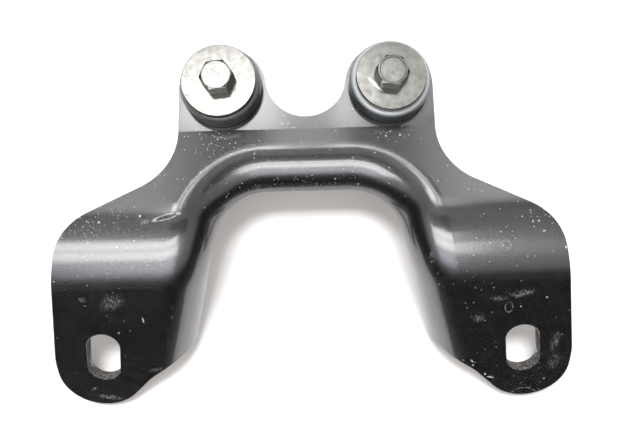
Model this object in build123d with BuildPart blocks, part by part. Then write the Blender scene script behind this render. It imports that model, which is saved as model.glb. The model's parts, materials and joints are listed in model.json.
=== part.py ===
"""Fuel tank bracket of a motorbike: a pressed steel sheet held by two rubber dampers.

The bracket is modelled as it lies on a bench, on the tips of its two bolts and of its two legs.
X runs across it, with the halves mirrored about X = 0, +Y points to the ears, +Z is up, and the
bench is Z = 0. The pressing is drawn in the ear frame, whose XY plane is the top face of the ears
and whose Z axis is parallel to the bolts.
"""

import os
from math import atan2, cos, degrees, hypot, radians, sin, tan

from build123d import *

# Sheet and press form
sheet = 4.0
plate_rise = 10.0
leg_drop = 37.0
plate_length = 26.0
bend_radius = 36.0
crease_radius = 1.5
roll_radius = 14.5
flange_depth = 10.5

# Ears and notch
bolt_spacing = 58.0
bolt_line = 15.0
ear_radius = 15.2
notch_offset = 3.3
damper_hole = 20.0

# Outer outline of plate and legs
waist_drop = 13.9
waist_slope = 26.6
waist_radius = 21.0
shoulder_place = 82.0
shoulder_radius = 21.0
leg_flare = 13.0
flare_radius = 20.0
tip_radius = 15.2
tip_spacing = 154.4
tip_place = 82.5
tip_sweep = 136.0
inner_run = 9.0
inner_sweep = 16.0
inner_radius = 15.0
heel_radius = 6.0
heel_gap = 0.6
wall_overrun = 12.0

# Arch between the legs
arch_top = 22.0
arch_width = 54.3
arch_splay = 17.9
arch_radius = 18.0

# Slots in the legs
slot_spacing = 149.2
slot_place = 76.8
slot_length = 20.8
slot_width = 11.5
slot_lean = 9.0

# Dampers, collars and washers
damper_diameter = 28.0
lip_height = 6.5
lip_bevel = 1.8
lip_edge_bevel = 0.6
lip_foot_bevel = 0.8
groove_clearance = 0.1
collar_diameter = 9.0
collar_bore = 6.4
left_washer_diameter = 25.4
right_washer_diameter = 23.9
washer_bore = 6.6
washer_thickness = 2.0
washer_bevel = 0.3

# Bolts, with a plain grip as long as the stack of washer and damper, and then the thread
shank_diameter = 6.0
thread_diameter = 5.9
bolt_length = 30.0
head_flats = 10.0
head_sides = 6
head_height = 5.0
head_bevel = 30.0
head_crown = 9.6
recess_diameter = 8.7
recess_depth = 0.3
tip_chamfer = 0.8
left_head_turn = 6.5
right_head_turn = -8.5

# Side line of the press form in the ear frame, as points (y, z) from the crease to the leg tips
plate_angle = radians(plate_rise)
leg_angle = radians(leg_drop)
bend_start = (-plate_length * cos(plate_angle), plate_length * sin(plate_angle))
bend_centre = (
    bend_start[0] - bend_radius * sin(plate_angle),
    bend_start[1] - bend_radius * cos(plate_angle),
)
bend_end = (
    bend_centre[0] - bend_radius * sin(leg_angle),
    bend_centre[1] + bend_radius * cos(leg_angle),
)


def down_leg(place):
    """How far down the flat leg, from the bend's end, a place lies that is measured in plan."""
    return (place + bend_end[0]) / cos(leg_angle)


leg_length = down_leg(tip_place) + tip_radius
tip_end = (
    bend_end[0] - leg_length * cos(leg_angle),
    bend_end[1] - leg_length * sin(leg_angle),
)

# Lay-down: the bolt tips and the lower edges of the leg tips touch one bench
tip_flat = thread_diameter / 2 - tip_chamfer
grip = washer_thickness + 2 * lip_height + sheet
bolt_foot = (bolt_line + tip_flat, lip_height + washer_thickness - bolt_length)
leg_foot = (tip_end[0] + sheet * sin(leg_angle), tip_end[1] - sheet * cos(leg_angle))
lay_angle = atan2(bolt_foot[1] - leg_foot[1], bolt_foot[0] - leg_foot[0])


def laid(point):
    """The bench frame's y and z of a point (y, z) in the ear frame, before the part is centred."""
    y, z = point
    return (
        y * cos(lay_angle) + z * sin(lay_angle),
        -y * sin(lay_angle) + z * cos(lay_angle),
    )


front_y = laid(tip_end)[0]
back_y = bolt_line * cos(lay_angle) + ear_radius
bench_z = laid(leg_foot)[1]
ear_frame = Location((0, -(front_y + back_y) / 2, -bench_z), (-degrees(lay_angle), 0, 0))


def ear_plane(origin, x_dir, z_dir):
    """A plane given in the ear frame, as it lies on the bench."""
    return Plane(ear_frame * Plane(origin, x_dir=x_dir, z_dir=z_dir).location)


top_plane = ear_plane((0, 0, 0), (1, 0, 0), (0, 0, 1))
side_plane = ear_plane((0, 0, 0), (0, 1, 0), (1, 0, 0))
leg_plane = ear_plane((0, *bend_end), (1, 0, 0), (0, -sin(leg_angle), cos(leg_angle)))

# The press form is cut from a block that reaches past the bracket on every side
block_margin = 40.0
block_depth = 110.0
slot_x = slot_spacing / 2
tip_x = tip_spacing / 2
widest = tip_x + tip_radius
block_half = widest + block_margin
block_foot = -tip_end[0] + block_margin
side_x = bolt_spacing / 2 + ear_radius
splay = tan(radians(arch_splay))
cut_reach = 2 * sheet


def press_line(depth):
    """The side face of the press form, its top line sunk by depth and closed far below."""
    crease = (-depth * tan(plate_angle / 2), -depth)
    start = (bend_start[0] - depth * sin(plate_angle), bend_start[1] - depth * cos(plate_angle))
    end = (bend_end[0] + depth * sin(leg_angle), bend_end[1] - depth * cos(leg_angle))
    middle_angle = (leg_angle - plate_angle) / 2
    middle = (
        bend_centre[0] - (bend_radius - depth) * sin(middle_angle),
        bend_centre[1] + (bend_radius - depth) * cos(middle_angle),
    )
    toe = (-block_foot, end[1] - (end[0] + block_foot) * tan(leg_angle))
    back = bolt_line + ear_radius + block_margin
    with BuildSketch(side_plane) as face:
        with BuildLine():
            Polyline(toe, (-block_foot, -block_depth), (back, -block_depth), (back, -depth))
            FilletPolyline((back, -depth), crease, start, radius=crease_radius + depth)
            ThreePointArc(start, middle, end)
            Line(end, toe)
        make_face()
    return face


def arch_opening(depth):
    """The open arch between the legs in plan, grown by depth."""
    foot = block_foot + block_margin
    corner = arch_width / 2
    reach = corner + (foot - arch_top) * splay
    with BuildSketch(top_plane) as opening:
        with BuildLine():
            rim = FilletPolyline(
                (-reach, -foot),
                (-corner, -arch_top),
                (corner, -arch_top),
                (reach, -foot),
                radius=arch_radius,
            )
            Line(rim @ 1, rim @ 0)
        make_face()
        offset(amount=depth, kind=Kind.ARC)
    return opening


def press_form(depth):
    """The block whose top is the pressed face sunk by depth, with the arch edge rolled down."""
    # The rim runs no steeper than the leg, so what is steeper than this is the arch's upright wall
    steepest = (1 + sin(leg_angle)) / 2
    with BuildPart() as form:
        extrude(press_line(depth).sketch, amount=block_half, both=True)
        opening = arch_opening(depth).sketch
        extrude(opening, amount=block_depth, both=True, mode=Mode.SUBTRACT)
        rim = form.edges(Select.LAST)
        rim = rim.filter_by(lambda e: abs(e.tangent_at().dot(top_plane.z_dir)) < steepest)
        rim = rim.filter_by(lambda e: top_plane.to_local_coords(e.center()).Z > -block_depth / 2)
        fillet(rim, radius=roll_radius - depth)
    return form


def outer_outline():
    """Plan of the ears, waist and shoulders down to the widest place of the legs."""
    ear_x = bolt_spacing / 2
    notch_y = bolt_line + notch_offset
    notch_radius = hypot(ear_x, notch_offset) - ear_radius
    lean = degrees(atan2(notch_offset, ear_x))
    shoulder_y = -waist_drop - (shoulder_place - side_x) * tan(radians(waist_slope))
    flare_y = shoulder_y - (widest - shoulder_place) / tan(radians(leg_flare))
    with BuildSketch(top_plane) as outline:
        with BuildLine():
            CenterArc((0, notch_y), notch_radius, -90, 90 - lean)
            CenterArc((ear_x, bolt_line), ear_radius, 0, 180 - lean)
            FilletPolyline(
                (side_x, bolt_line),
                (side_x, -waist_drop),
                (shoulder_place, shoulder_y),
                (widest, flare_y),
                (widest, -tip_place),
                radius=(waist_radius, shoulder_radius, flare_radius),
            )
            Polyline((widest, -tip_place), (block_half, -tip_place), (block_half, -block_foot))
            Line((block_half, -block_foot), (0, -block_foot))
            Line((0, -block_foot), (0, notch_y - notch_radius))
        make_face()
        mirror(about=Plane.YZ)
    return outline


def tip_outline():
    """Outline of the leg tips on the leg's own plane, wide open above the widest place."""
    reach = block_foot + block_margin
    tip_y = down_leg(tip_place)
    with BuildSketch(leg_plane) as outline:
        with BuildLine():
            tip = CenterArc((tip_x, -tip_y), tip_radius, 0, -tip_sweep)
            neck = Line(tip @ 1, tip @ 1 + tip % 1 * inner_run)
            inner = JernArc(neck @ 1, neck % 1, inner_radius, inner_sweep)
            slope = inner % 1
            wall_y = -arch_top - bend_end[0] - flange_depth * sin(leg_angle)
            wall_x = arch_width / 2 + wall_y * splay - heel_gap
            wall_splay = cos(leg_angle) * splay
            run = ((inner @ 1).X - wall_x + (inner @ 1).Y * wall_splay) / (
                -slope.X - slope.Y * wall_splay
            )
            heel = inner @ 1 + slope * run
            FilletPolyline(
                inner @ 1,
                heel,
                (wall_x - wall_overrun * wall_splay, wall_overrun),
                radius=heel_radius,
            )
            Polyline(
                (wall_x - wall_overrun * wall_splay, wall_overrun),
                (0, wall_overrun),
                (0, reach),
                (block_half, reach),
                (block_half, -tip_y),
                (widest, -tip_y),
            )
        make_face()
        mirror(about=Plane.YZ)
    return outline


# Bracket plate: the form less its inner copy leaves the sheet, which the outlines then trim
block = press_form(0)
core = press_form(sheet)
with BuildPart() as bracket_plate:
    add(block.part)
    add(core.part, mode=Mode.SUBTRACT)
    extrude(press_line(flange_depth).sketch, amount=block_half, both=True, mode=Mode.SUBTRACT)
    extrude(outer_outline().sketch, amount=block_depth, both=True, mode=Mode.INTERSECT)
    extrude(tip_outline().sketch, amount=block_depth, both=True, mode=Mode.INTERSECT)
    with BuildSketch(top_plane):
        with Locations((-bolt_spacing / 2, bolt_line), (bolt_spacing / 2, bolt_line)):
            Circle(damper_hole / 2)
    extrude(amount=cut_reach, both=True, mode=Mode.SUBTRACT)
    with BuildSketch(leg_plane):
        for half in (-1, 1):
            with Locations((half * slot_x, -down_leg(slot_place))):
                SlotOverall(slot_length, slot_width, rotation=90 + half * slot_lean)
    extrude(amount=cut_reach, both=True, mode=Mode.SUBTRACT)


def bolt_plane(side, height=0):
    """The plane across the bolt on that side, -1 left and 1 right, at a height over the ear."""
    return ear_plane((side * bolt_spacing / 2, bolt_line, height), (1, 0, 0), (0, 0, 1))


def turned_plane(side):
    """The plane through the bolt's axis on that side, in which a turned profile is drawn."""
    return ear_plane((side * bolt_spacing / 2, bolt_line, 0), (1, 0, 0), (0, -1, 0))


def bolt_axis(side):
    """The axis of the bolt on that side."""
    return Axis(bolt_plane(side).origin, bolt_plane(side).z_dir)


def rubber_damper(side):
    """A grommet: two lips, with a groove between them that the hole in the ear fits."""
    outer = damper_diameter / 2
    groove = damper_hole / 2 - groove_clearance
    foot = -sheet - lip_height
    with BuildPart() as damper:
        with BuildSketch(turned_plane(side)) as profile:
            with Locations((0, 0), (0, foot)):
                Rectangle(outer, lip_height, align=(Align.MIN, Align.MIN))
            with Locations((0, -sheet)):
                Rectangle(groove, sheet, align=(Align.MIN, Align.MIN))
            # A lip's round outer edge is three flats, and its edge at the groove is one
            rims = profile.vertices().filter_by(lambda v: abs(v.X - outer) < groove_clearance)
            rims = rims.sort_by(Axis.Y)
            chamfer(rims[1:3], length=lip_foot_bevel)
            chamfer([rims[0], rims[3]], length=lip_bevel)
            chamfer(profile.vertices(Select.LAST), length=lip_edge_bevel)
            with Locations((0, foot)):
                Rectangle(
                    collar_diameter / 2,
                    2 * lip_height + sheet,
                    align=(Align.MIN, Align.MIN),
                    mode=Mode.SUBTRACT,
                )
        revolve(axis=bolt_axis(side))
    return damper


def collar(side):
    """The steel sleeve inside the damper, as long as the damper is high."""
    with BuildPart() as sleeve:
        with BuildSketch(bolt_plane(side, -sheet - lip_height)):
            Circle(collar_diameter / 2)
            Circle(collar_bore / 2, mode=Mode.SUBTRACT)
        extrude(amount=2 * lip_height + sheet)
    return sleeve


def washer(side, diameter):
    """A plain punched washer, its upper edges bevelled a little."""
    with BuildPart() as disc:
        with BuildSketch(bolt_plane(side, lip_height)):
            Circle(diameter / 2)
            Circle(washer_bore / 2, mode=Mode.SUBTRACT)
        extrude(amount=washer_thickness)
        top = disc.faces().sort_by(bolt_axis(side))[-1]
        chamfer(top.edges(), length=washer_bevel)
    return disc


def bolt(side, turn, dished):
    """A hexagon bolt: a bevelled head, a plain grip as long as the stack, and a threaded end."""
    seat = lip_height + washer_thickness
    crown = head_crown / 2
    reach = head_flats
    bevel = (reach - crown) * tan(radians(head_bevel))
    with BuildPart() as screw:
        with BuildSketch(bolt_plane(side, seat)):
            RegularPolygon(
                head_flats / 2, side_count=head_sides, major_radius=False, rotation=turn
            )
        extrude(amount=head_height)
        with BuildSketch(turned_plane(side)):
            with BuildLine():
                top = seat + head_height
                Polyline((crown, top), (reach, top), (reach, top - bevel), close=True)
            make_face()
            if dished:
                with Locations((0, top)):
                    Rectangle(recess_diameter / 2, recess_depth, align=(Align.MIN, Align.MAX))
        revolve(axis=bolt_axis(side), mode=Mode.SUBTRACT)
        with BuildSketch(bolt_plane(side, seat)):
            Circle(shank_diameter / 2)
        extrude(amount=-grip)
        with BuildSketch(bolt_plane(side, seat - grip)):
            Circle(thread_diameter / 2)
        extrude(amount=grip - bolt_length)
        tip = screw.edges().filter_by(GeomType.CIRCLE).sort_by(bolt_axis(side))[0]
        chamfer(tip, length=tip_chamfer)
    return screw


pieces = {"bracket_plate": bracket_plate}
for side, name, turn, diameter, dished in (
    (-1, "left", left_head_turn, left_washer_diameter, False),
    (1, "right", right_head_turn, right_washer_diameter, True),
):
    pieces[name + "_rubber_damper"] = rubber_damper(side)
    pieces[name + "_collar"] = collar(side)
    pieces[name + "_washer"] = washer(side, diameter)
    pieces[name + "_bolt"] = bolt(side, turn, dished)

os.makedirs("parts", exist_ok=True)
for name, piece in pieces.items():
    piece.part.label = name
    export_step(piece.part, "parts/" + name + ".step")
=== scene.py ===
"""Looks of the fuel tank bracket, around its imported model.

The bracket lies on a pale bench, Z = 0, and the camera looks down on it. Objects are in metres, the
sizes of pieces and patterns are in millimetres, marks are placed by pixels of the photo, and colours
are sRGB hex values.
"""

import json
from math import atan2, cos, pi, radians, sin, tan

import bpy
import numpy as np
from mathutils import Euler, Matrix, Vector
from mathutils.bvhtree import BVHTree


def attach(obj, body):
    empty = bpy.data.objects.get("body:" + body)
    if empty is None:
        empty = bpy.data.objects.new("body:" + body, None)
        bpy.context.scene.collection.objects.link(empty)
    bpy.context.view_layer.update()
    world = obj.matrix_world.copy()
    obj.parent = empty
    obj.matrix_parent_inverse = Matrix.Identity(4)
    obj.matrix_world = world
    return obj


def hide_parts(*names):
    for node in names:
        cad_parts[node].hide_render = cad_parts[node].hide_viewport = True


MM = 0.001

# Camera: its place over the bench in mm, its turn about X, Y and Z, its lens on a 36 mm sensor, and
# the photo's width and height in pixels
CAMERA_PLACE = (4.48, 0.72, 229.35)
CAMERA_TURN = (1.376, 0.563, -1.464)
CAMERA_LENS = 34.177
SENSOR_WIDTH = 36.0
PHOTO_SIZE = (632, 421)

# Studio
FLOOR_HALF = 1.5
FLOOR_LIFT = 0.34
LAMP_HEIGHT = 1.2
CEILING_HEIGHT = 1.25
FADE_STEPS = 3
SHEET_GAP = 0.01
BODY_HALF = (80.0, 32.0)
BODY_SHIFT = 10.0
BODY_RISE = 2.0
ROOM_LEVEL = 0.02

# Stack on each bolt, as heights over the foot of the damper
BOLT_SPACING = 58.0
LIP_HEIGHT = 6.5
SHEET = 4.0
STACK_HEIGHT = 2 * LIP_HEIGHT + SHEET
WASHER_THICKNESS = 2.0
ROUND_STEPS = 96
TURNS = np.linspace(0, 2 * pi, ROUND_STEPS, endpoint=False)
SHARP_ANGLE = 30.0

# Dampers
DAMPER_RADIUS = 14.0
GROOVE_RADIUS = 9.9
COLLAR_RADIUS = 4.5
LIP_ROUND = 2.6
LIP_FOOT = 0.7

# Bolts
HEAD_FLATS = 10.0
HEAD_HEIGHT = 5.0
HEAD_CROWN = 9.6
HEAD_BEVEL = 30.0
EDGE_SOFT = 0.12
RECESS_RADIUS = 4.25
RECESS_DEPTH = 0.3
GRIP_RADIUS = 3.0
THREAD_RADIUS = 2.95
THREAD_PITCH = 1.0
THREAD_DEPTH = 0.58
THREAD_FLAT = 0.15
THREAD_ROWS = 133
BOLT_LENGTH = 30.0
TIP_CHAMFER = 0.8
LEFT_HEAD_TURN = 6.5
RIGHT_HEAD_TURN = -8.5

# Slots in the legs, for the worn paint in them
SLOT_LEAN = 9.0
SLOT_RADIUS = 5.75
SLOT_RUN = 4.65

# How far a mark reaches along Z, so that the sloping sheet stays inside it
MARK_DEPTH = 12.0

# Width of a ring scratch on its narrow side
SCRATCH_WIDTH = 0.25

# Rubs in the paint: the photo's pixel at the middle, half sizes, turn, and how strongly they show
RUBS = (
    ((112, 303), (4.2, 2.8), 20, 0.75),
    ((82, 300), (1.4, 1.0), 0, 0.8),
    ((145, 222), (2.0, 0.9), 15, 0.9),
    ((110, 397), (5.0, 1.2), -8, 0.95),
    ((94, 389), (1.6, 0.8), 20, 0.95),
    ((156, 370), (2.4, 1.0), 10, 0.85),
    ((479, 318), (2.0, 1.8), 0, 0.9),
    ((523, 293), (4.0, 1.4), 10, 0.95),
    ((499, 298), (2.8, 1.0), 0, 0.85),
    ((555, 341), (1.8, 4.6), -6, 0.6),
    ((554, 361), (2.4, 3.6), -12, 0.6),
    ((432, 258), (0.9, 2.4), 5, 1.0),
)

# Thin scratches that close in a ring: pixel, half sizes, turn, and how strongly they show
RINGS = (
    ((166, 217), (4.1, 0.75), 14, 0.8),
    ((523, 397), (5.3, 4.0), 0, 0.5),
    ((506, 245), (1.7, 1.6), 0, 0.35),
    ((509, 307), (1.3, 1.9), 10, 0.5),
)

# Chips down to pale metal on the edges: pixel, half sizes, turn
CHIPS = (
    ((472, 361), (0.7, 0.25), -50),
    ((473, 365), (0.25, 0.45), 0),
    ((485, 374), (0.35, 0.5), 30),
    ((490, 377), (1.3, 0.25), -15),
    ((143, 320), (0.2, 1.1), 5),
    ((140, 216), (0.45, 0.4), 0),
    ((566, 247), (0.25, 0.5), 0),
)

# Dusty patches: pixel, half sizes, and the share of specks kept in their middle
DUST = (
    ((83, 223), (14.0, 6.5), 0.75),
    ((219, 143), (12.0, 5.0), 0.5),
    ((393, 134), (7.0, 3.0), 0.4),
    ((308, 183), (22.0, 2.5), 0.5),
    ((541, 217), (9.0, 6.0), 0.4),
)

# Burnished streak on the right washer, where a tool has slipped: pixel, half sizes, turn
STREAK = ((376, 85), (4.0, 0.6), -46)


def linear(value):
    """Linear RGBA of an sRGB hex value."""
    parts = [int(value[i : i + 2], 16) / 255 for i in (1, 3, 5)]
    return [c / 12.92 if c <= 0.04045 else ((c + 0.055) / 1.055) ** 2.4 for c in parts] + [1.0]


def add_node(tree, kind, settings=None, inputs=None):
    """A node with its settings; an input is a number, a hex colour, a node or a node's output."""
    node = tree.nodes.new(kind)
    for name, value in (settings or {}).items():
        setattr(node, name, value)
    for name, value in (inputs or {}).items():
        socket = node.inputs[name]
        if isinstance(value, bpy.types.Node):
            value = value.outputs[0]
        if isinstance(value, bpy.types.NodeSocket):
            tree.links.new(value, socket)
        else:
            socket.default_value = linear(value) if isinstance(value, str) else value
    return node


def new_material(name):
    """An empty material, its tree, and the point on the piece in mm that its patterns follow."""
    material = bpy.data.materials.new(name)
    material.use_nodes = True
    tree = material.node_tree
    tree.nodes.clear()
    place = add_node(tree, "ShaderNodeTexCoord").outputs["Object"]
    point = add_node(
        tree, "ShaderNodeVectorMath", {"operation": "SCALE"}, {0: place, "Scale": 1 / MM}
    )
    return material, tree, point


def seen_place(name, pixel):
    """The place in mm on a CAD node that the camera sees at a pixel of the photo.

    A ray runs from the camera through the pixel to where it first meets the node. A ray that misses
    the node ends level with the node's point nearest to it at one sheet's height over the bench.
    """
    width, height = PHOTO_SIZE
    focal = CAMERA_LENS / SENSOR_WIDTH * width
    aim = Vector((pixel[0] - width / 2, height / 2 - pixel[1], -focal))
    ray = Euler([radians(a) for a in CAMERA_TURN]).to_matrix() @ aim.normalized()
    camera = Vector(CAMERA_PLACE) * MM
    place = surfaces[name].ray_cast(camera, ray)[0]
    if place is None:
        low = camera + ray * ((SHEET * MM - camera.z) / ray.z)
        nearest = surfaces[name].find_nearest(low)[0]
        place = camera + ray * ((nearest.z - camera.z) / ray.z)
    return place / MM


def mark_reach(tree, point, name, pixel, half, turn):
    """How far the point lies from the middle of a mark on a node, where 1 is the mark's rim."""
    local = add_node(
        tree,
        "ShaderNodeMapping",
        {"vector_type": "TEXTURE"},
        {
            "Vector": point,
            "Location": seen_place(name, pixel),
            "Rotation": (0, 0, radians(turn)),
            "Scale": (*half, MARK_DEPTH),
        },
    )
    reach = add_node(tree, "ShaderNodeVectorMath", {"operation": "LENGTH"}, {0: local})
    return reach.outputs["Value"]


def rubbed_places(tree, point):
    """Rubs, each a ragged patch of fine streaks that fades at its rim."""
    stretched = add_node(
        tree,
        "ShaderNodeMapping",
        {},
        {"Vector": point, "Rotation": (0, 0, radians(35)), "Scale": (2.6, 0.7, 1.4)},
    )
    streak = add_node(
        tree,
        "ShaderNodeTexNoise",
        {},
        {"Vector": stretched, "Scale": 1.0, "Detail": 4.0, "Roughness": 0.7},
    )
    ragged = add_node(
        tree, "ShaderNodeMapRange", {}, {"Value": streak, "From Min": 0.47, "From Max": 0.62}
    )
    patches = 0.0
    for pixel, half, turn, strength in RUBS:
        reach = mark_reach(tree, point, "bracket_plate", pixel, half, turn)
        fade = add_node(
            tree,
            "ShaderNodeMapRange",
            {},
            {"Value": reach, "From Min": 1.15, "From Max": 0.35, "To Max": strength},
        )
        patches = add_node(tree, "ShaderNodeMath", {"operation": "MAXIMUM"}, {0: patches, 1: fade})
    return add_node(tree, "ShaderNodeMath", {"operation": "MULTIPLY"}, {0: patches, 1: ragged})


def ring_scratches(tree, point):
    """Thin closed scratches, broken where the noise is low."""
    gaps = add_node(
        tree, "ShaderNodeTexNoise", {}, {"Vector": point, "Scale": 0.6, "Detail": 2.0}
    )
    broken = add_node(
        tree, "ShaderNodeMapRange", {}, {"Value": gaps, "From Min": 0.36, "From Max": 0.52}
    )
    rings = 0.0
    for pixel, half, turn, strength in RINGS:
        reach = mark_reach(tree, point, "bracket_plate", pixel, half, turn)
        off = add_node(tree, "ShaderNodeMath", {"operation": "SUBTRACT"}, {0: reach, 1: 1.0})
        away = add_node(tree, "ShaderNodeMath", {"operation": "ABSOLUTE"}, {0: off})
        line = SCRATCH_WIDTH / min(half)
        thin = add_node(
            tree,
            "ShaderNodeMapRange",
            {},
            {"Value": away, "From Min": line, "From Max": line / 3, "To Max": strength},
        )
        rings = add_node(tree, "ShaderNodeMath", {"operation": "MAXIMUM"}, {0: rings, 1: thin})
    return add_node(tree, "ShaderNodeMath", {"operation": "MULTIPLY"}, {0: rings, 1: broken})


def edge_chips(tree, point):
    """Small chips with a ragged rim."""
    ragged = add_node(
        tree, "ShaderNodeTexNoise", {}, {"Vector": point, "Scale": 1.8, "Detail": 3.0}
    )
    chips = 0.0
    for pixel, half, turn in CHIPS:
        reach = mark_reach(tree, point, "bracket_plate", pixel, half, turn)
        rough = add_node(tree, "ShaderNodeMath", {"operation": "ADD"}, {0: reach, 1: ragged})
        chip = add_node(
            tree, "ShaderNodeMapRange", {}, {"Value": rough, "From Min": 1.5, "From Max": 1.3}
        )
        chips = add_node(tree, "ShaderNodeMath", {"operation": "MAXIMUM"}, {0: chips, 1: chip})
    return chips


def dust_specks(tree, point, spacing, largest, share):
    """Round dust specks, one to a cell, kept where their chance is under share; sizes are radii."""
    cells = add_node(
        tree, "ShaderNodeTexVoronoi", {}, {"Vector": point, "Scale": 1 / spacing}
    )
    chance = add_node(tree, "ShaderNodeSeparateColor", {}, {"Color": cells.outputs["Color"]})
    radius = add_node(
        tree,
        "ShaderNodeMapRange",
        {},
        {"Value": chance.outputs["Red"], "To Min": 0.06 / spacing, "To Max": largest / spacing},
    )
    inside = add_node(
        tree,
        "ShaderNodeMath",
        {"operation": "LESS_THAN"},
        {0: cells.outputs["Distance"], 1: radius},
    )
    kept = add_node(
        tree,
        "ShaderNodeMath",
        {"operation": "LESS_THAN"},
        {0: chance.outputs["Green"], 1: share},
    )
    return add_node(tree, "ShaderNodeMath", {"operation": "MULTIPLY"}, {0: inside, 1: kept})


def dusty_share(tree, point):
    """How dusty the paint is: more on the left shoulder, below the dampers and in the arch's roll."""
    patches = add_node(
        tree, "ShaderNodeTexNoise", {}, {"Vector": point, "Scale": 1 / 15, "Detail": 2.0}
    )
    share = add_node(
        tree,
        "ShaderNodeMapRange",
        {},
        {
            "Value": patches,
            "From Min": 0.42,
            "From Max": 0.68,
            "To Min": 0.01,
            "To Max": 0.1,
        },
    )
    for pixel, half, strength in DUST:
        reach = mark_reach(tree, point, "bracket_plate", pixel, half, 0)
        fade = add_node(
            tree,
            "ShaderNodeMapRange",
            {},
            {"Value": reach, "From Min": 1.3, "From Max": 0.2, "To Max": strength},
        )
        share = add_node(tree, "ShaderNodeMath", {"operation": "MAXIMUM"}, {0: share, 1: fade})
    return share


def mount_frame(name):
    """A mount's place in metres and its direction upwards, from the frame's record."""
    mount = next(m for m in frame["record"]["mounts"] if m["name"] == name)
    return np.array(mount["pos_m"]), -np.array(mount["axis"])


def slot_walls(tree, point):
    """1 in the walls of the two slots, whose paint is worn away, and 0 a little past their rims."""
    place, up = mount_frame("right_leg_slot")
    axes = add_node(tree, "ShaderNodeSeparateXYZ", {}, {0: point})
    side = add_node(tree, "ShaderNodeMath", {"operation": "ABSOLUTE"}, {0: axes.outputs["X"]})
    mirrored = add_node(
        tree,
        "ShaderNodeCombineXYZ",
        {},
        {"X": side, "Y": axes.outputs["Y"], "Z": axes.outputs["Z"]},
    )
    local = add_node(
        tree,
        "ShaderNodeMapping",
        {"vector_type": "TEXTURE"},
        {
            "Vector": mirrored,
            "Location": place / MM,
            "Rotation": (-atan2(up[1], up[2]), 0, radians(SLOT_LEAN)),
        },
    )
    parts = add_node(tree, "ShaderNodeSeparateXYZ", {}, {0: local})
    along = add_node(tree, "ShaderNodeMath", {"operation": "ABSOLUTE"}, {0: parts.outputs["Y"]})
    past = add_node(tree, "ShaderNodeMath", {"operation": "SUBTRACT"}, {0: along, 1: SLOT_RUN})
    end = add_node(tree, "ShaderNodeMath", {"operation": "MAXIMUM"}, {0: past, 1: 0.0})
    flat = add_node(tree, "ShaderNodeCombineXYZ", {}, {"X": parts.outputs["X"], "Y": end})
    reach = add_node(tree, "ShaderNodeVectorMath", {"operation": "LENGTH"}, {0: flat})
    ragged = add_node(
        tree, "ShaderNodeTexNoise", {}, {"Vector": point, "Scale": 1.6, "Detail": 3.0}
    )
    rim = add_node(
        tree,
        "ShaderNodeMapRange",
        {},
        {
            "Value": ragged,
            "From Min": 0.4,
            "From Max": 0.7,
            "To Min": SLOT_RADIUS + 0.02,
            "To Max": SLOT_RADIUS + 0.35,
        },
    )
    return add_node(
        tree, "ShaderNodeMath", {"operation": "LESS_THAN"}, {0: reach.outputs["Value"], 1: rim}
    )


def finish_material(tree, inputs, height, distance, edge):
    """The material's one shader: edges broken by that many mm, and a bump that many mm high."""
    broken = add_node(tree, "ShaderNodeBevel", {"samples": 4}, {"Radius": edge * MM})
    bump = add_node(
        tree,
        "ShaderNodeBump",
        {},
        {"Height": height, "Distance": distance * MM, "Normal": broken},
    )
    shader = add_node(tree, "ShaderNodeBsdfPrincipled", {}, {**inputs, "Normal": bump})
    add_node(tree, "ShaderNodeOutputMaterial", {}, {"Surface": shader})


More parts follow.
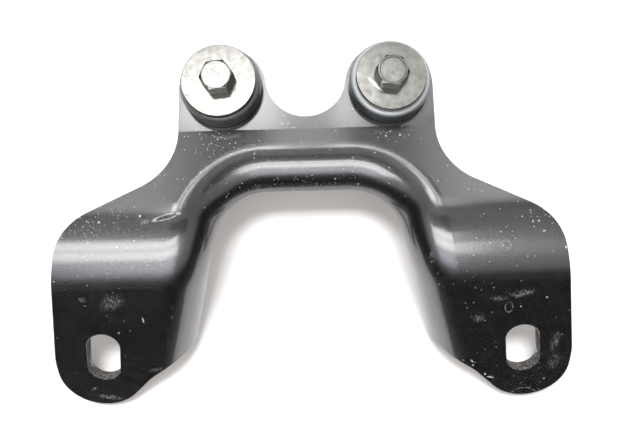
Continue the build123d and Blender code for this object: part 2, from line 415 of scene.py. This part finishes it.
def satin_black_paint():
    """Black stoving enamel on pressed steel: a deep, slightly pebbled gloss with dust and rubs."""
    material, tree, point = new_material("satin_black_paint")
    # Sprayed enamel has a pebbled skin about half a millimetre apart, which breaks up highlights
    pebbles = add_node(
        tree,
        "ShaderNodeTexNoise",
        {},
        {"Vector": point, "Scale": 1 / 0.55, "Detail": 3.0, "Roughness": 0.65},
    )
    cloud = add_node(
        tree, "ShaderNodeTexNoise", {}, {"Vector": point, "Scale": 1 / 4, "Detail": 5.0}
    )
    share = dusty_share(tree, point)
    coarse = dust_specks(tree, point, 1.6, 0.38, share)
    fine = dust_specks(tree, point, 0.75, 0.2, share)
    specks = add_node(tree, "ShaderNodeMath", {"operation": "MAXIMUM"}, {0: coarse, 1: fine})
    patches = rubbed_places(tree, point)
    rings = ring_scratches(tree, point)
    rubs = add_node(tree, "ShaderNodeMath", {"operation": "MAXIMUM"}, {0: patches, 1: rings})
    film = add_node(
        tree, "ShaderNodeMix", {"data_type": "RGBA"}, {"Factor": share, 6: "#040404", 7: "#0e0e0e"}
    )
    rubbed = add_node(
        tree,
        "ShaderNodeMix",
        {"data_type": "RGBA"},
        {"Factor": rubs, 6: film.outputs[2], 7: "#a3a29e"},
    )
    dusty = add_node(
        tree,
        "ShaderNodeMix",
        {"data_type": "RGBA"},
        {"Factor": specks, 6: rubbed.outputs[2], 7: "#b3b0a9"},
    )
    grit = add_node(
        tree, "ShaderNodeMapRange", {}, {"Value": pebbles, "From Min": 0.46, "From Max": 0.66}
    )
    wall = add_node(
        tree,
        "ShaderNodeMix",
        {"data_type": "RGBA"},
        {"Factor": grit, 6: "#1c1b1a", 7: "#9a968f"},
    )
    walls = slot_walls(tree, point)
    walled = add_node(
        tree,
        "ShaderNodeMix",
        {"data_type": "RGBA"},
        {"Factor": walls, 6: dusty.outputs[2], 7: wall.outputs[2]},
    )
    bare = add_node(tree, "ShaderNodeMath", {"operation": "MULTIPLY"}, {0: walls, 1: 0.75})
    coated = add_node(tree, "ShaderNodeMath", {"operation": "SUBTRACT"}, {0: 1.0, 1: walls})
    colour = add_node(
        tree,
        "ShaderNodeMix",
        {"data_type": "RGBA"},
        {"Factor": edge_chips(tree, point), 6: walled.outputs[2], 7: "#dcdad4"},
    )
    gloss = add_node(
        tree,
        "ShaderNodeMapRange",
        {},
        {"Value": cloud, "From Min": 0.35, "From Max": 0.65, "To Min": 0.21, "To Max": 0.27},
    )
    dull = add_node(tree, "ShaderNodeMath", {"operation": "MULTIPLY"}, {0: specks, 1: 0.8})
    dusted = add_node(tree, "ShaderNodeMath", {"operation": "MAXIMUM"}, {0: gloss, 1: dull})
    rough = add_node(tree, "ShaderNodeMath", {"operation": "MAXIMUM"}, {0: dusted, 1: bare})
    finish_material(
        tree,
        {
            "Base Color": colour.outputs[2],
            "Roughness": rough,
            "Specular IOR Level": 1.0,
            "Coat Weight": coated,
            "Coat Roughness": 0.12,
            "Coat IOR": 1.8,
        },
        height=pebbles,
        distance=0.1,
        edge=0.35,
    )
    return material


def painted_lip_highlight(tree, point):
    """Painted highlight on the rounded shoulders of the dampers' upper lips: a pale ring, stronger on the
    right one than on the left.
    """
    lip_highlights = 0.0
    for side, strength in ((-1, 0.35), (1, 0.9)):
        origin, axes = stack_frame(side)
        local = add_node(
            tree,
            "ShaderNodeMapping",
            {"vector_type": "TEXTURE"},
            {
                "Vector": point,
                "Location": (origin + STACK_HEIGHT * MM * axes[2]) / MM,
                "Rotation": (-atan2(axes[2][1], axes[2][2]), 0, 0),
            },
        )
        parts = add_node(tree, "ShaderNodeSeparateXYZ", {}, {0: local})
        flat = add_node(
            tree,
            "ShaderNodeCombineXYZ",
            {},
            {"X": parts.outputs["X"], "Y": parts.outputs["Y"]},
        )
        radius = add_node(tree, "ShaderNodeVectorMath", {"operation": "LENGTH"}, {0: flat})
        outer = add_node(
            tree,
            "ShaderNodeMapRange",
            {},
            {
                "Value": radius.outputs["Value"],
                "From Min": DAMPER_RADIUS - 0.35,
                "From Max": DAMPER_RADIUS - 1.3,
                "To Max": strength,
            },
        )
        high = add_node(
            tree,
            "ShaderNodeMapRange",
            {},
            {"Value": parts.outputs["Z"], "From Min": -LIP_ROUND, "From Max": -LIP_ROUND / 2},
        )
        lip_highlight = add_node(tree, "ShaderNodeMath", {"operation": "MULTIPLY"}, {0: outer, 1: high})
        lip_highlights = add_node(tree, "ShaderNodeMath", {"operation": "MAXIMUM"}, {0: lip_highlights, 1: lip_highlight})
    return lip_highlights


def moulded_rubber():
    """Moulded nitrile rubber: matte blue-grey, bloomed paler in patches, with a fine tooth."""
    material, tree, point = new_material("moulded_rubber")
    bloom = add_node(
        tree, "ShaderNodeTexNoise", {}, {"Vector": point, "Scale": 1 / 3.5, "Detail": 4.0}
    )
    tooth = add_node(
        tree, "ShaderNodeTexNoise", {}, {"Vector": point, "Scale": 1 / 0.4, "Detail": 2.0}
    )
    patches = add_node(
        tree, "ShaderNodeMapRange", {}, {"Value": bloom, "From Min": 0.4, "From Max": 0.65}
    )
    body = add_node(
        tree,
        "ShaderNodeMix",
        {"data_type": "RGBA"},
        {"Factor": patches, 6: "#2b3034", 7: "#454b51"},
    )
    # Painted highlight: the lips' rounded shoulders are coloured pale grey, not lit
    colour = add_node(
        tree,
        "ShaderNodeMix",
        {"data_type": "RGBA"},
        {"Factor": painted_lip_highlight(tree, point), 6: body.outputs[2], 7: "#c3c7c8"},
    )
    finish_material(
        tree,
        {"Base Color": colour.outputs[2], "Roughness": 0.36, "Specular IOR Level": 0.9},
        height=tooth,
        distance=0.03,
        edge=0.2,
    )
    return material


def dulled_steel(name, pale, dark, roughness):
    """Plated steel gone grey and semi-gloss: mottled by handling, with fine random scratches."""
    material, tree, point = new_material(name)
    mottle = add_node(
        tree,
        "ShaderNodeTexNoise",
        {},
        {"Vector": point, "Scale": 1 / 2.4, "Detail": 5.0, "Roughness": 0.65},
    )
    grain = add_node(
        tree,
        "ShaderNodeTexNoise",
        {},
        {"Vector": point, "Scale": 1 / 0.3, "Detail": 3.0, "Roughness": 0.7},
    )
    patches = add_node(
        tree, "ShaderNodeMapRange", {}, {"Value": mottle, "From Min": 0.36, "From Max": 0.66}
    )
    mottled = add_node(
        tree, "ShaderNodeMix", {"data_type": "RGBA"}, {"Factor": patches, 6: pale, 7: dark}
    )
    reach = mark_reach(tree, point, "right_washer", *STREAK)
    streak = add_node(
        tree, "ShaderNodeMapRange", {}, {"Value": reach, "From Min": 1.0, "From Max": 0.55}
    )
    colour = add_node(
        tree,
        "ShaderNodeMix",
        {"data_type": "RGBA"},
        {"Factor": streak, 6: mottled.outputs[2], 7: "#f4f4f0"},
    )
    rough = add_node(
        tree,
        "ShaderNodeMapRange",
        {},
        {
            "Value": mottle,
            "From Min": 0.3,
            "From Max": 0.7,
            "To Min": roughness,
            "To Max": roughness + 0.05,
        },
    )
    finish_material(
        tree,
        {"Base Color": colour.outputs[2], "Metallic": 1.0, "Roughness": rough},
        height=grain,
        distance=0.012,
        edge=0.15,
    )
    return material


def pale_floor():
    """A pale bench: white under the lamps, with a soft warm shadow under the bracket."""
    material, tree, _ = new_material("pale_floor")
    seen = add_node(tree, "ShaderNodeLightPath")
    direct = add_node(
        tree,
        "ShaderNodeMath",
        {"operation": "MAXIMUM"},
        {0: seen.outputs["Is Camera Ray"], 1: seen.outputs["Is Glossy Ray"]},
    )
    lift = add_node(tree, "ShaderNodeMath", {"operation": "MULTIPLY"}, {0: direct, 1: FLOOR_LIFT})
    glow = add_node(tree, "ShaderNodeEmission", {}, {"Color": "#c9bfb6", "Strength": lift})
    paper = add_node(tree, "ShaderNodeBsdfDiffuse", {}, {"Color": "#f4f4f6"})
    both = add_node(tree, "ShaderNodeAddShader", {}, {0: paper, 1: glow})
    add_node(tree, "ShaderNodeOutputMaterial", {}, {"Surface": both})
    return material


def carried_round(rows):
    """Carries rows of (radius, height) round an axis: x = r cos t, y = r sin t, z = height.

    A row holds one pair for the whole turn, or one for each step of it.
    """
    radius, height = rows[..., 0], rows[..., 1]
    parts = np.broadcast_arrays(radius * np.cos(TURNS), radius * np.sin(TURNS), height)
    return np.stack(parts, axis=-1)


def quads(rows, steps, closed):
    """The faces between neighbouring rows of points; a closed profile joins its last row to its first."""
    low = np.arange(rows if closed else rows - 1)[:, None] * steps
    high = (low + steps) % (rows * steps)
    here = np.arange(steps)[None, :]
    there = (here + 1) % steps
    return np.stack([low + here, high + here, high + there, low + there], axis=-1).reshape(-1, 4)


def stack_frame(side):
    """Origin and axes of the stack on that side: the middle of the damper's foot, X, and the bolt."""
    middle, up = mount_frame("damper_studs")
    origin = middle + np.array([side * BOLT_SPACING / 2 * MM, 0, 0])
    across = np.array([1.0, 0.0, 0.0])
    return origin, np.stack([across, np.cross(up, across), up])


def add_mesh(name, points, faces, material):
    """An object at the origin, with that mesh and material."""
    mesh = bpy.data.meshes.new(name)
    mesh.from_pydata(points, [], faces)
    mesh.materials.append(material)
    thing = bpy.data.objects.new(name, mesh)
    bpy.context.scene.collection.objects.link(thing)
    return thing


def add_piece(name, points, faces, side, material):
    """A mesh in the stack's frame on that side, in place of the CAD node of the same name.

    Its edges over SHARP_ANGLE are left sharp.
    """
    origin, axes = stack_frame(side)
    piece = add_mesh(name, (origin + points @ axes * MM).tolist(), faces, material)
    piece.data.shade_smooth()
    piece.data.set_sharp_from_angle(angle=radians(SHARP_ANGLE))
    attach(piece, "root")
    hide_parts(name)


def quarter_round(centre, radius, start, end, steps=8):
    """Points on an arc from one angle to another, each (radius + r cos a, height + r sin a)."""
    angle = np.radians(np.linspace(start, end, steps))
    return np.stack([centre[0] + radius * np.cos(angle), centre[1] + radius * np.sin(angle)], -1)


def make_damper(name, side, material):
    """Grommet: a closed profile of two round lips and a groove, carried round the bolt."""
    bore = COLLAR_RADIUS
    rim = DAMPER_RADIUS - LIP_ROUND
    groove_low = LIP_HEIGHT
    groove_high = LIP_HEIGHT + SHEET
    foot = DAMPER_RADIUS - LIP_FOOT
    profile = np.concatenate(
        [
            [(bore, 0.0)],
            quarter_round((rim, LIP_ROUND), LIP_ROUND, -90, 0),
            quarter_round((foot, groove_low - LIP_FOOT), LIP_FOOT, 0, 90, 5),
            [(GROOVE_RADIUS, groove_low), (GROOVE_RADIUS, groove_high)],
            quarter_round((foot, groove_high + LIP_FOOT), LIP_FOOT, -90, 0, 5),
            quarter_round((rim, STACK_HEIGHT - LIP_ROUND), LIP_ROUND, 0, 90),
            [(bore, STACK_HEIGHT)],
        ]
    )
    points = carried_round(profile[:, None])
    faces = quads(len(profile), ROUND_STEPS, True)
    add_piece(
        name, points.reshape(-1, 3), faces[:, ::-1].tolist(), side, material
    )


def hexagon(turn, flats):
    """Distance from the axis to the side of a hexagon with a corner at angle 0."""
    return flats / 2 / np.cos(np.mod(turn, pi / 3) - pi / 6)


def bolt_rows(dished):
    """Rows of (radius, height) from the middle of a bolt's head to its tip, each a whole turn.

    The head is a hexagon cut by a cone from its crown. The thread is a helix, a row's radius at turn t
    and height z being the crest less the depth of a V that repeats with t / 2 pi + z / pitch. The V's
    sides are a little steeper than its pitch needs, by THREAD_FLAT, which leaves its floor flat.
    """
    seat = STACK_HEIGHT + WASHER_THICKNESS
    top = seat + HEAD_HEIGHT
    crown = HEAD_CROWN / 2
    side = hexagon(TURNS, HEAD_FLATS)
    around = np.ones(ROUND_STEPS)
    slope = tan(radians(HEAD_BEVEL))
    cone = top - (side - crown) * slope
    rows = []
    if dished:
        rows += [(RECESS_RADIUS - 3 * EDGE_SOFT, top - RECESS_DEPTH)]
        rows += [(RECESS_RADIUS - EDGE_SOFT, top - RECESS_DEPTH), (RECESS_RADIUS, top - EDGE_SOFT)]
        rows += [(RECESS_RADIUS + EDGE_SOFT, top)]
    rows += [(crown - 2 * EDGE_SOFT, top), (crown - EDGE_SOFT, top)]
    rows += [(crown, top - EDGE_SOFT / 4), (crown + EDGE_SOFT, top - EDGE_SOFT * slope)]
    rows += [(side - EDGE_SOFT, cone + EDGE_SOFT * slope), (side, cone - EDGE_SOFT)]
    rows += [(side, seat + EDGE_SOFT), (side - EDGE_SOFT, seat), (GRIP_RADIUS, seat)]
    rows += [(GRIP_RADIUS, 0.0)]
    tip = seat - BOLT_LENGTH
    for height in np.linspace(-EDGE_SOFT, tip, THREAD_ROWS):
        phase = np.mod(TURNS / (2 * pi) + height / THREAD_PITCH, 1.0)
        slant = (1 + THREAD_FLAT) * (1 - 2 * np.abs(phase - 0.5))
        valley = THREAD_DEPTH * np.clip(slant, 0, 1)
        ending = THREAD_RADIUS - TIP_CHAMFER + (height - tip)
        rows += [(np.minimum(THREAD_RADIUS - valley, ending), height)]
    return np.array([np.stack([radius * around, height * around], -1) for radius, height in rows])


def make_bolt(name, side, turn, dished, material):
    """Hexagon bolt: rows of points round its axis, closed by one point on the head and one on the tip."""
    rows = bolt_rows(dished)
    points = carried_round(rows).reshape(-1, 3)
    faces = quads(len(rows), ROUND_STEPS, False).tolist()
    here = np.arange(ROUND_STEPS)
    there = (here + 1) % ROUND_STEPS
    last = (len(rows) - 1) * ROUND_STEPS
    head, tip = len(points), len(points) + 1
    poles = np.array([[0, 0, rows[0, 0, 1]], [0, 0, rows[-1, 0, 1]]])
    points = np.concatenate([points, poles])
    faces += [(head, a, b) for a, b in zip(here.tolist(), there.tolist())]
    faces += [(tip, b + last, a + last) for a, b in zip(here.tolist(), there.tolist())]
    c, s = cos(radians(turn)), sin(radians(turn))
    points = points @ np.array([[c, s, 0], [-s, c, 0], [0, 0, 1]])
    add_piece(name, points, faces, side, material)


def finish_node(node, material):
    """Gives a CAD node its material."""
    node.data.materials.clear()
    node.data.materials.append(material)


def make_floor():
    """A square sheet at bench height."""
    h = FLOOR_HALF
    corners = [(-h, -h, 0), (h, -h, 0), (h, h, 0), (-h, h, 0)]
    floor = add_mesh("floor", corners, [(0, 1, 2, 3)], pale_floor())


def make_camera_body():
    """The camera's own dark body over the bracket, which only polished faces mirror."""
    x, y, z = CAMERA_PLACE
    y += BODY_SHIFT
    z += BODY_RISE
    across, along = BODY_HALF
    corners = [(x + i * across, y + j * along, z) for i, j in ((-1, -1), (-1, 1), (1, 1), (1, -1))]
    black, tree, _ = new_material("body_black")
    matte = add_node(tree, "ShaderNodeBsdfDiffuse", {}, {"Color": "#101012"})
    add_node(tree, "ShaderNodeOutputMaterial", {}, {"Surface": matte})
    body = add_mesh("camera_body", (np.array(corners) * MM).tolist(), [(0, 1, 2, 3)], black)
    body.visible_camera = False
    body.visible_diffuse = False
    body.visible_shadow = False


def softbox(name, across, along, radiance, fade, height, colour="#ffffff", reaches="both"):
    """A flat lamp facing down, between two angles across and two along, seen from the bench.

    Its sheets are nested, so that it fades over that many degrees at its edge. It reaches matt
    surfaces, glossy ones or both.
    """
    for sheet, grow in enumerate(np.linspace(-fade / 2, fade / 2, FADE_STEPS)):
        level = height + sheet * SHEET_GAP
        x0, x1 = (level * tan(radians(a)) for a in (across[0] - grow, across[1] + grow))
        y0, y1 = (level * tan(radians(a)) for a in (along[0] - grow, along[1] + grow))
        data = bpy.data.lights.new(f"{name}_{sheet}", "AREA")
        data.color = linear(colour)[:3]
        data.shape = "RECTANGLE"
        data.size = x1 - x0
        data.size_y = y1 - y0
        data.energy = radiance / FADE_STEPS * pi * data.size * data.size_y
        lamp = bpy.data.objects.new(f"{name}_{sheet}", data)
        lamp.location = ((x0 + x1) / 2, (y0 + y1) / 2, level)
        lamp.visible_diffuse = reaches != "glossy"
        lamp.visible_glossy = reaches != "matt"
        bpy.context.scene.collection.objects.link(lamp)


def make_world():
    """A dim room that the camera sees as white."""
    world = bpy.data.worlds.new("room")
    bpy.context.scene.world = world
    world.use_nodes = True
    tree = world.node_tree
    tree.nodes.clear()
    seen = add_node(tree, "ShaderNodeLightPath")
    level = add_node(
        tree,
        "ShaderNodeMapRange",
        {},
        {"Value": seen.outputs["Is Camera Ray"], "To Min": ROOM_LEVEL, "To Max": 1.0},
    )
    sky = add_node(tree, "ShaderNodeBackground", {}, {"Color": "#ffffff", "Strength": level})
    add_node(tree, "ShaderNodeOutputWorld", {}, {"Surface": sky})


def make_camera():
    """The camera over the bench, looking down."""
    data = bpy.data.cameras.new("camera")
    data.lens = CAMERA_LENS
    data.sensor_width = SENSOR_WIDTH
    data.clip_start = 0.01
    camera = bpy.data.objects.new("camera", data)
    camera.location = [c * MM for c in CAMERA_PLACE]
    camera.rotation_euler = [radians(a) for a in CAMERA_TURN]
    bpy.context.scene.collection.objects.link(camera)
    bpy.context.scene.camera = camera


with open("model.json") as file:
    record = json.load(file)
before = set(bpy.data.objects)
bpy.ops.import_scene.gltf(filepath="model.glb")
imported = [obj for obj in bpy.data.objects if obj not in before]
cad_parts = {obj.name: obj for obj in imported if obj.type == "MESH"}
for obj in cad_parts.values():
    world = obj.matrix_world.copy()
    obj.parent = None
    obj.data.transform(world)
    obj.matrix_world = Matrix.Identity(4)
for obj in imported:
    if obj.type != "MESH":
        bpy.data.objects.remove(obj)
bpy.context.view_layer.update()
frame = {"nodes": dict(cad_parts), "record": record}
nodes = frame["nodes"]
depsgraph = bpy.context.evaluated_depsgraph_get()
surfaces = {name: BVHTree.FromObject(nodes[name], depsgraph) for name in ("bracket_plate", "right_washer")}

paint = satin_black_paint()
rubber = moulded_rubber()
steel = dulled_steel("dulled_zinc_plating", "#94938f", "#83827e", 0.17)
collar_steel = dulled_steel("zinc_plating", "#c0c2be", "#9a9c98", 0.3)

finish_node(nodes["bracket_plate"], paint)
for side, name, turn, dished in (
    (-1, "left", LEFT_HEAD_TURN, False),
    (1, "right", RIGHT_HEAD_TURN, True),
):
    finish_node(nodes[f"{name}_collar"], collar_steel)
    finish_node(nodes[f"{name}_washer"], steel)
    make_damper(f"{name}_rubber_damper", side, rubber)
    make_bolt(f"{name}_bolt", side, turn, dished, steel)

make_floor()
make_world()
make_camera_body()
softbox("key_upper", (-32, 13), (-16.5, -5.5), 5.8, 4, LAMP_HEIGHT, reaches="glossy")
softbox("key_lower", (-32, 17), (-28, -16.5), 5.6, 4, LAMP_HEIGHT, reaches="glossy")
softbox("key_skirt", (-31, 14), (-45, -28), 2.2, 8, LAMP_HEIGHT, "#eef1ff", "glossy")
softbox("key_right", (17, 34), (-32, -16), 0.35, 4, LAMP_HEIGHT)
softbox("ceiling", (-50, 56), (-51, 21), 0.6, 6, CEILING_HEIGHT)
softbox("rear_left", (-40, -18), (27, 54), 1.8, 6, CEILING_HEIGHT)
softbox("rear_middle", (-7.5, 4), (33, 54), 2.3, 2, CEILING_HEIGHT)
softbox("rear_right", (15, 42), (30, 54), 2.2, 6, CEILING_HEIGHT)
softbox("ear_lamp_left", (-17, -4), (25, 32.5), 8.5, 2, LAMP_HEIGHT)
softbox("ear_lamp_middle", (-3.5, 1), (25, 32.5), 3.2, 2, LAMP_HEIGHT)
softbox("ear_lamp_right", (1, 5.5), (25, 32.5), 7.5, 2, LAMP_HEIGHT)
softbox("ear_lamp_outer", (5.5, 17), (25, 32.5), 1.6, 2, LAMP_HEIGHT)
softbox("back_fill", (-16, 6), (17, 29), 38.0, 2, LAMP_HEIGHT, reaches="matt")
make_camera()
bpy.context.scene.view_settings.view_transform = "Standard"
